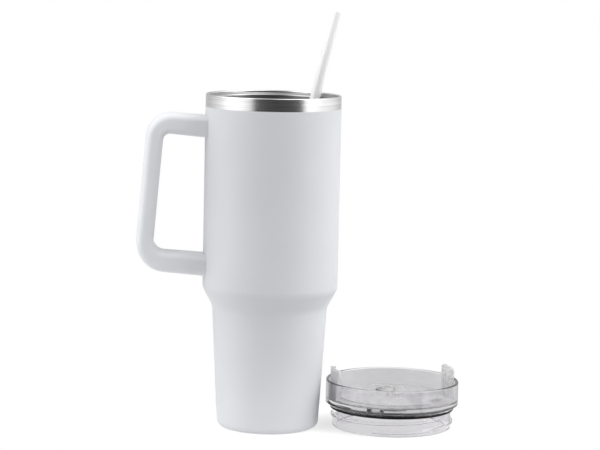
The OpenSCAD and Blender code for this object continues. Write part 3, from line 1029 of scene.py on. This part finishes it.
@dataclass
class Handle:
    """The closed side handle: a satin skin over its core, two welded brackets and two screws."""

    azimuth: float = 185.5
    tilt: float = 4.6
    wall_r: float = 50.0 * MM
    mid_z: float = 172.0 * MM
    arm_half: float = 50.84 * MM
    reach: float = 46.4 * MM
    grip: float = 12.3 * MM
    tip: float = 14.5 * MM
    root: float = 15.7 * MM
    width: float = 26.0 * MM
    edge: float = 5.0 * MM
    top_round: float = 18.5 * MM
    low_round: float = 21.5 * MM
    inner_top: float = 5.0 * MM
    inner_low: float = 9.0 * MM
    skin: float = 2.2 * MM
    bury: float = 2.6 * MM
    pocket_r: float = 3.7 * MM
    pocket_run: float = 8.0 * MM
    head: float = 2.0 * MM
    body: str = "tumbler"

    def frame(self) -> Matrix:
        """From the handle's own axes, x outwards and z along the grip, to the row's.

        Returns:
            The transform.
        """
        return (
            Matrix.Rotation(math.radians(self.azimuth), 4, "Z")
            @ Matrix.Translation((self.wall_r, 0, self.mid_z))
            @ Matrix.Rotation(math.radians(-self.tilt), 4, "Y")
        )

    def wall_x(self, side: int) -> float:
        """Where the cup's wall crosses the middle of the upper (1) or lower (-1) arm."""
        return side * self.arm_half * math.tan(math.radians(self.tilt))

    def edge_z(self, side: int, edge: int, x: float) -> float:
        """The height of an arm's upper (edge 1) or lower (edge -1) face at x.

        Args:
            side: 1 for the upper arm, -1 for the lower one.
            edge: 1 for its upper face, -1 for its lower one.
            x: The distance outwards.

        Returns:
            The height, from the grip's middle.
        """
        start = self.wall_x(side)
        half = (self.root + (self.tip - self.root) * (x - start) / (self.reach - start)) / 2
        return side * self.arm_half + edge * half

    def outline(self) -> list[Corner]:
        """The side view's corners, from the lower arm's root round the grip and back.

        Returns:
            The corners.
        """
        low, top = self.wall_x(-1) - self.bury, self.wall_x(1) - self.bury
        inside = self.reach - self.grip
        return [
            (low, self.edge_z(-1, -1, low), 0),
            (self.reach, self.edge_z(-1, -1, self.reach), self.low_round),
            (self.reach, self.edge_z(1, 1, self.reach), self.top_round),
            (top, self.edge_z(1, 1, top), 0),
            (top, self.edge_z(1, -1, top), 0),
            (inside, self.edge_z(1, -1, inside), self.inner_top),
            (inside, self.edge_z(-1, 1, inside), self.inner_low),
            (low, self.edge_z(-1, 1, low), 0),
        ]

    def build(self) -> None:
        """Builds the skin and dresses what it covers."""
        self.satin_skin()
        for node in ("upper_bracket", "lower_bracket"):
            dress(node, SHEET_STEEL)
        dress("handle_core", CORE)
        for node in ("upper_screw", "lower_screw"):
            dress(node, BRIGHT_STEEL)

    def satin_skin(self) -> None:
        """One smooth bar, hollow over its core, with a pocket for each screw."""
        bm = chain(self.outline(), True, steps=18)
        bmesh.ops.contextual_create(bm, geom=bm.edges)
        bmesh.ops.translate(bm, vec=(0, -self.width / 2, 0), verts=bm.verts)
        made = bmesh.ops.extrude_face_region(bm, geom=bm.faces)["geom"]
        bmesh.ops.translate(bm, vec=(0, self.width, 0), verts=[v for v in made if isinstance(v, BMVert)])
        bmesh.ops.recalc_face_normals(bm, faces=bm.faces)
        caps = [face for face in bm.faces if self.at_root(face)]
        bmesh.ops.delete(bm, geom=caps, context="FACES_ONLY")
        level = [edge for edge in bm.edges if abs(edge.verts[0].co.y - edge.verts[1].co.y) < WELD]
        soften(bm, [edge for edge in level if len(edge.link_faces) == 2], self.edge, 9)
        bm.transform(self.frame())
        pockets = [self.pocket(node) for node in ("upper_screw", "lower_screw")]
        bm = carved(bm, cuts=pockets, skin=self.skin)
        piece("handle_skin", bm, SKIN, self.body, "handle_grip")

    def at_root(self, face: BMFace) -> bool:
        """Whether a face of the plain bar is the flat end of an arm."""
        xs = [vert.co.x for vert in face.verts]
        return max(xs) - min(xs) < WELD and max(xs) < self.reach / 2

    def pocket(self, node: str) -> BMesh:
        """The round pocket that a screw's head sits in, cut from below the arm.

        Args:
            node: The screw's node.

        Returns:
            The solid to cut away.
        """
        back = self.frame().inverted()
        spots = [back @ vert.co for vert in FRAME["nodes"][node].data.vertices]
        low, high = (Vector(pick(values) for values in zip(*spots)) for pick in (min, max))
        centre = (low + high) / 2
        bm = rod(centre, self.pocket_r, (low.z - self.pocket_run, low.z + self.head))
        bm.transform(self.frame())
        return bm


@dataclass
class Straw:
    """The long translucent straw that leans in the cup, along its bore mount's axis."""

    radius: float = 3.75 * MM
    wall: float = 1.0 * MM
    length: float = 308.0 * MM
    rim: float = 0.3 * MM
    mount: str = "straw_bore"
    body: str = "straw"

    def build(self) -> None:
        """A tube with softened rims, leaned over and set on its foot."""
        inner, outer, top, rim = self.radius - self.wall, self.radius, self.length, self.rim
        side = [(inner, 0, rim), (outer, 0, rim), (outer, top, rim), (inner, top, rim)]
        bm = turned(side, True, steps=SMALL_STEPS, facets=4)
        bore = next(mount for mount in FRAME["record"]["mounts"] if mount["name"] == self.mount)
        along = Vector(bore["axis"])
        foot = Vector(bore["pos_m"]) - along * (self.length / 2)
        lean = UP.rotation_difference(along).to_matrix().to_4x4()
        bm.transform(Matrix.Translation(foot) @ lean)
        piece("drinking_straw", bm, STRAW_PLASTIC, self.body, "straw")


@dataclass
class ScrewLid:
    """The clear lid: ring, floor and threaded skirt in one, its gasket and the slot's seal."""

    ring_r: float = 49.5 * MM
    ring_in: float = 47.3 * MM
    floor: Span = (18.0 * MM, 21.0 * MM)
    gasket_r: float = 46.4 * MM
    groove_r: float = 43.4 * MM
    root_r: float = 44.2 * MM
    crest_r: float = 45.6 * MM
    skirt_in: float = 41.6 * MM
    gasket_low: float = 13.8 * MM
    seat_z: float = 15.2 * MM
    ring_z: float = 17.9 * MM
    pitch: float = 6.6 * MM
    thread_z: float = 5.0 * MM
    thread_turns: Span = (-120.0, 330.0)
    pivot_r: float = 4.05 * MM
    seal_r: float = 5.6 * MM
    seal_depth: float = 1.6 * MM
    slot: Span = (33.0 * MM, 39.0 * MM)
    slot_seal_w: float = 1.6 * MM
    slot_seal_depth: float = 1.0 * MM
    slot_azimuth: float = 271.0
    slot_half: float = 11.0
    straw_azimuth: float = 101.0
    straw_x: float = 19.0 * MM
    straw_hole: float = 5.5 * MM
    groove_x: float = 30.0 * MM
    groove_half_w: float = 1.6 * MM
    groove_depth: float = 1.5 * MM
    groove_azimuth: float = 175.0
    groove_half: float = 35.0
    body: str = "lid"
    centre: Vector = field(default_factory=lambda: middle("lid_gasket"))

    def build(self) -> None:
        """Builds the lid's pieces and dresses its slot seal."""
        self.clear_shell()
        self.gasket()
        dress("slot_seal", CLEAR_RUBBER)

    def profile(self) -> list[Corner]:
        """The lid's section, from under the floor's middle out and back over the floor.

        Returns:
            The corners.
        """
        low, high = span_z("lid_body")
        small, lip = 0.3 * MM, 1.05 * MM
        return [
            (0, self.floor[0], 0),
            (self.skirt_in, self.floor[0], 0.8 * MM),
            (self.skirt_in, low, small),
            (self.root_r, low, 0.8 * MM),
            (self.root_r, self.gasket_low, small),
            (self.groove_r, self.gasket_low, 0),
            (self.groove_r, self.floor[0], 0),
            (self.gasket_r, self.floor[0], 0),
            (self.gasket_r, self.seat_z, small),
            (self.ring_r, self.ring_z, small),
            (self.ring_r, high, lip),
            (self.ring_in, high, lip),
            (self.ring_in, self.floor[1], 0.7 * MM),
            (0, self.floor[1], 0),
        ]

    def straw_spot(self) -> Vector:
        """The axis of the straw hole."""
        angle = math.radians(self.straw_azimuth)
        return self.centre + self.straw_x * Vector((math.cos(angle), math.sin(angle), 0))

    def clear_shell(self) -> None:
        """The moulded clear body with its thread and its holes."""
        centre, top, seal_w = self.centre, self.floor[1] + MM, self.slot_seal_w
        through = (self.floor[0] - MM, top)
        wide = self.slot_half + math.degrees(seal_w / sum(self.slot) * 2)
        around = (self.slot[0] - seal_w, self.slot[1] + seal_w)
        half = [
            (self.root_r - 0.35 * MM, -1.5 * MM),
            (self.root_r + 0.1 * MM, -1.3 * MM),
            (self.crest_r, -0.6 * MM),
        ]
        sunk = self.root_r - 0.3 * MM
        thread = helix_rib(centre, mirrored(half), self.thread_z, self.pitch, self.thread_turns, sunk)
        groove = (self.groove_x - self.groove_half_w, self.groove_x + self.groove_half_w)
        cuts = [
            rod(centre, self.pivot_r, through, SMALL_STEPS),
            rod(centre, self.seal_r, (self.floor[1] - self.seal_depth, top), SMALL_STEPS),
            arc_block(centre, self.slot, through, self.slot_azimuth, self.slot_half),
            arc_block(centre, around, (self.floor[1] - self.slot_seal_depth, top), self.slot_azimuth, wide),
            rod(self.straw_spot(), self.straw_hole, through, SMALL_STEPS),
            arc_block(
                centre,
                groove,
                (self.floor[1] - self.groove_depth, top),
                self.groove_azimuth,
                self.groove_half,
                40,
            ),
        ]
        bm = carved(turned(self.profile(), centre=self.centre, facets=6), cuts, [thread])
        piece("clear_lid", bm, CLEAR, self.body, "lid_body")

    def gasket(self) -> None:
        """The black ring in the groove under the lid's seat, with a soft crown."""
        low, high = span_z("lid_gasket")
        outer, soft = self.gasket_r, 0.5 * MM
        path = [
            (self.groove_r, low, 0.2 * MM),
            (outer - 0.15 * MM, low, soft),
            (outer, (low + high) / 2, 0.8 * MM),
            (outer - 0.1 * MM, high, 0.3 * MM),
            (self.groove_r, high, 0.2 * MM),
        ]
        bm = turned(path, True, self.centre, facets=5)
        piece("seal_ring", bm, BLACK_RUBBER, self.body, "lid_gasket")


@dataclass
class RotaryCover:
    """The frosted disc that turns on the lid, with two ear tabs, a straw port and its pivot."""

    radius: float = 46.5 * MM
    step_w: float = 6.5 * MM
    step: float = 0.8 * MM
    heights: Span = (21.3 * MM, 23.1 * MM)
    tab_azimuth: float = 12.0
    tab_radii: Span = (42.3 * MM, 46.2 * MM)
    tab_w: float = 25.0 * MM
    tab_top: float = 43.5 * MM
    tab_round: float = 6.0 * MM
    tab_soft: float = 1.1 * MM
    tab_foot: float = 3.0 * MM
    rib_r: float = 0.8 * MM
    rib_pitch: float = 4.4 * MM
    rib_rise: float = 2.0 * MM
    rib_soft: float = 0.5 * MM
    ribs: int = 4
    pin_r: float = 4.0 * MM
    pin_head: float = 5.3 * MM
    straw_hole: float = 6.0 * MM
    bore: float = 3.85 * MM
    flange: float = 7.6 * MM
    port_h: float = 4.0 * MM
    travel: float = 60.0
    lug_azimuth: float = 205.0
    lug_half: float = 4.0
    lug_half_w: float = 1.2 * MM
    lug_low: float = 19.8 * MM
    body: str = "rotary_cover"
    lid: ScrewLid = field(default_factory=ScrewLid)

    def build(self) -> None:
        """Builds the cover, its port and its pin, and dresses the clip and seal under it."""
        self.frosted_disc()
        self.port()
        self.pin()
        dress("pivot_clip", BRIGHT_STEEL)
        dress("pivot_seal", BLACK_RUBBER)

    def tab(self, azimuth: float) -> BMesh:
        """One ear tab: a bent plate with round shoulders.

        Args:
            azimuth: The direction of its middle, in degrees.

        Returns:
            The closed tab.
        """
        inner, outer = self.tab_radii
        half = math.degrees(self.tab_w / 2 / outer)
        low = (self.heights[0] + self.heights[1] - self.step) / 2
        bm = arc_block(self.lid.centre, (inner, outer), (low, self.tab_top), azimuth, half, 20)
        corners = [edge for edge in bm.edges if self.shoulder(edge)]
        soften(bm, corners, self.tab_round, 10)
        rims = [edge for edge in bm.edges if self.creased(edge) and self.above(edge, low + self.tab_foot)]
        soften(bm, rims, self.tab_soft, 4)
        return fresh(bm)

    def shoulder(self, edge: BMEdge) -> bool:
        """Whether an edge of the plain tab is one of its two upper corners.

        Args:
            edge: The edge.

        Returns:
            True on the two edges across the top.
        """
        a, b = (vert.co for vert in edge.verts)
        centre = self.lid.centre
        across = abs((a - centre).xy.length - (b - centre).xy.length) > MM
        return across and self.creased(edge) and self.above(edge, self.tab_top - MM)

    @staticmethod
    def creased(edge: BMEdge) -> bool:
        """Whether an edge turns sharply between two faces."""
        return len(edge.link_faces) == 2 and edge.calc_face_angle(0) > CREASE

    @staticmethod
    def above(edge: BMEdge, height: float) -> bool:
        """Whether both ends of an edge are above a height."""
        return min(vert.co.z for vert in edge.verts) > height

    def grip_rib(self, azimuth: float, index: int) -> BMesh:
        """One round rib on a tab's inner face.

        Args:
            azimuth: The tab's direction, in degrees.
            index: The rib's number on its tab.

        Returns:
            The closed rib.
        """
        inner = self.tab_radii[0]
        turn = azimuth + math.degrees((index - (self.ribs - 1) / 2) * self.rib_pitch / inner)
        angle = math.radians(turn)
        spot = self.lid.centre + inner * Vector((math.cos(angle), math.sin(angle), 0))
        ends = (self.heights[0] + 0.4 * MM, self.tab_top - self.tab_round + self.rib_rise)
        return rod(spot, self.rib_r, ends, 16, self.rib_soft)

    def frosted_disc(self) -> None:
        """The stepped disc with its tabs, its stop lug and its openings."""
        low, high = self.heights
        centre, lid = self.lid.centre, self.lid
        inside = self.radius - self.step_w
        path = [
            (0, low, 0),
            (self.radius, low, 0.25 * MM),
            (self.radius, high - self.step, 0.3 * MM),
            (inside, high - self.step, 0.25 * MM),
            (inside, high, 0.3 * MM),
            (0, high, 0),
        ]
        joins = []
        for azimuth in (self.tab_azimuth, self.tab_azimuth + 180):
            joins.append(self.tab(azimuth))
            joins += [self.grip_rib(azimuth, index) for index in range(self.ribs)]
        lug = (lid.groove_x - self.lug_half_w, lid.groove_x + self.lug_half_w)
        lug_z = (self.lug_low, low + 0.2 * MM)
        joins.append(arc_block(centre, lug, lug_z, self.lug_azimuth, self.lug_half, 6))
        around = (low - MM, high + MM)
        head = self.pin_head - self.pin_r
        over = 0.3 * MM
        sink = [
            (0, high - head, 0),
            (self.pin_r, high - head, 0),
            (self.pin_head + over, high + over, 0),
            (0, high + over, 0),
        ]
        cuts = [
            rod(centre, self.pin_r, around, SMALL_STEPS),
            turned(sink, centre=centre, steps=SMALL_STEPS),
            rod(lid.straw_spot(), self.straw_hole, around, SMALL_STEPS),
            arc_block(centre, lid.slot, around, lid.slot_azimuth + self.travel, lid.slot_half),
        ]
        bm = carved(turned(path, centre=centre, facets=3), cuts, joins)
        piece("frosted_cover", bm, FROSTED, self.body, "cover_disc")

    def port(self) -> None:
        """The soft port that a straw goes through."""
        low, top = self.heights
        collar, soft = self.bore + 1.6 * MM, 0.4 * MM
        path = [
            (self.bore, low, 0.2 * MM),
            (self.straw_hole, low, 0),
            (self.straw_hole, top, 0),
            (self.flange, top, 0),
            (self.flange, top + MM, soft),
            (collar, top + MM, soft),
            (collar, low + self.port_h, soft),
            (self.bore, low + self.port_h, 0.3 * MM),
        ]
        bm = turned(path, True, self.lid.straw_spot(), steps=SMALL_STEPS, facets=4)
        piece("straw_port_grommet", bm, CLEAR_RUBBER, self.body, "straw_grommet")

    def pin(self) -> None:
        """The pivot pin, with a countersunk head and a groove for its clip."""
        low, high = span_z("pivot_pin")
        clip_low, clip_high = span_z("pivot_clip")
        neck = self.pin_r - 0.8 * MM
        head = self.pin_head - self.pin_r
        path = [
            (0, low, 0),
            (self.pin_r, low, 0.5 * MM),
            (self.pin_r, clip_low, 0),
            (neck, clip_low, 0),
            (neck, clip_high, 0),
            (self.pin_r, clip_high, 0),
            (self.pin_r, high - head, 0),
            (self.pin_head, high, 0.15 * MM),
            (2.2 * MM, high, 0.2 * MM),
            (1.6 * MM, high - 0.6 * MM, 0.2 * MM),
            (0, high - 0.6 * MM, 0),
        ]
        bm = turned(path, centre=self.lid.centre, steps=SMALL_STEPS, facets=4)
        piece("pivot_rivet", bm, BRIGHT_STEEL, self.body, "pivot_pin")


# The studio


@dataclass(frozen=True)
class Panel:
    """A soft bright patch of the room: its direction in degrees, its gain and its soft edge's cosines."""

    azimuth: float
    rise: float
    gain: float
    spread: Span


@dataclass
class Studio:
    """Camera, pale floor and soft light."""

    spot: tuple[float, float, float] = (0.0213, -1.655, 0.354)
    pitch: float = 7.0
    roll: float = 1.25
    lens: float = 135.4
    sensor: float = 36.0
    floor_r: float = 0.165
    floor_at: tuple[float, float, float] = (0.022, -0.09, 0.0)
    floor_grey: float = 0.36
    floor_rough: float = 0.9
    floor_glow: float = 0.64
    gap_azimuth: float = 9.5
    gap_edge: Span = (0.70, 0.74)
    gap_low: Span = (-0.38, -0.26)
    gap_high: Span = (0.60, 0.80)
    dark: float = 0.04
    sweep: Span = (0.22, 0.50)
    room: float = 0.70
    panels: tuple[Panel, ...] = (
        Panel(-66.0, 6.0, 0.50, (0.2, 1.0)),
        Panel(80.0, 10.0, 0.70, (0.2, 1.0)),
        Panel(-70.0, 34.0, 1.75, (0.66, 0.98)),
        Panel(64.0, 40.0, 2.50, (0.64, 0.97)),
    )
    zenith: float = 0.10
    ceiling: Span = (0.80, 0.98)

    def build(self) -> None:
        """Builds the camera, the floor and the light."""
        self.camera()
        self.floor()
        self.light()
        view = bpy.context.scene.view_settings
        view.view_transform, view.look, view.exposure, view.gamma = "Standard", "None", 0.0, 1.0

    def camera(self) -> None:
        """A long lens, a little above the cup, that looks slightly down."""
        data = bpy.data.cameras.new("camera")
        data.lens, data.sensor_width = self.lens, self.sensor
        made = bpy.data.objects.new("camera", data)
        made.matrix_world = (
            Matrix.Translation(self.spot)
            @ Matrix.Rotation(math.radians(90 - self.pitch), 4, "X")
            @ Matrix.Rotation(math.radians(self.roll), 4, "Z")
        )
        bpy.context.scene.collection.objects.link(made)
        bpy.context.scene.camera = made

    def floor(self) -> None:
        """A plain pale round table top."""
        bm = bmesh.new()
        bmesh.ops.create_circle(bm, cap_ends=True, segments=96, radius=self.floor_r)
        bmesh.ops.translate(bm, vec=self.floor_at, verts=bm.verts)
        mesh = as_mesh(bm, "floor")
        made = bpy.data.objects.new("floor", mesh)
        bpy.context.scene.collection.objects.link(made)
        paint = bpy.data.materials.new("pale_floor")
        Graph(paint).surface(
            Base_Color=grey(self.floor_grey),
            Roughness=self.floor_rough,
            Emission_Color=grey(1.0),
            Emission_Strength=self.floor_glow,
        )
        mesh.materials.append(paint)

    @staticmethod
    def heading(azimuth: float, rise: float) -> tuple[float, float, float]:
        """A direction from its angle to the right of the front and its rise, in degrees."""
        turn, up = math.radians(azimuth), math.radians(rise)
        return (math.sin(turn) * math.cos(up), -math.cos(turn) * math.cos(up), math.sin(up))

    def light(self) -> None:
        """A pale room with a bright panel at each side, a dark gap between them in front, and a ceiling."""
        world = bpy.data.worlds.new("studio")
        bpy.context.scene.world = world
        graph = Graph(world)
        way = graph.node("ShaderNodeTexCoord", {}, {}, "Generated")

        def towards(direction: Sequence[float]) -> Wire:
            """How closely the light's direction follows another."""
            return graph.vector("DOT_PRODUCT", way, direction)

        height = towards(UP)
        panels = self.room + self.zenith * height.smooth(*self.ceiling)
        for panel in self.panels:
            facing = towards(self.heading(panel.azimuth, panel.rise))
            panels = panels + panel.gain * facing.smooth(*panel.spread)
        level_way = graph.vector("NORMALIZE", graph.vector("MULTIPLY", way, (1, 1, 0)))
        facing = graph.vector("DOT_PRODUCT", level_way, self.heading(self.gap_azimuth, 0.0))
        upright = height.smooth(*self.gap_low) * height.smooth(*self.gap_high, 1.0, 0.0)
        gap = facing.smooth(*self.gap_edge) * upright
        room = panels * (1 - gap * (1 - self.dark))
        white = towards(-UP).smooth(*self.sweep)
        level = room * (1 - white) + white
        seen = graph.node("ShaderNodeLightPath", {}, {}, "Is Camera Ray")
        shown = level * (1 - seen) + seen
        backdrop = graph.node("ShaderNodeBackground", {}, {"Color": grey(1.0), "Strength": shown})
        graph.node_end("ShaderNodeOutputWorld", backdrop)


def main() -> None:
    """Builds the studio and every part of the object, in order."""
    logging.basicConfig(level=logging.INFO, format="%(name)s: %(message)s")
    Studio().build()
    for part in (CupBody(), Handle(), Straw(), ScrewLid(), RotaryCover()):
        part.build()
        log.info("%s is finished", type(part).__name__)


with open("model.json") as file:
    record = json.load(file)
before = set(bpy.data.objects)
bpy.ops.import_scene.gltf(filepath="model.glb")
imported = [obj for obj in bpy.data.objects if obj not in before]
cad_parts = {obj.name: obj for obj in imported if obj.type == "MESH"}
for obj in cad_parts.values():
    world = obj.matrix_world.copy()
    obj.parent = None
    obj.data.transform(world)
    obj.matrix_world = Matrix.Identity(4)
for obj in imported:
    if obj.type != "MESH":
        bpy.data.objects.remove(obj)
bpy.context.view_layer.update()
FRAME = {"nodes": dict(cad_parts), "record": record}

if __name__ == "__main__":
    main()
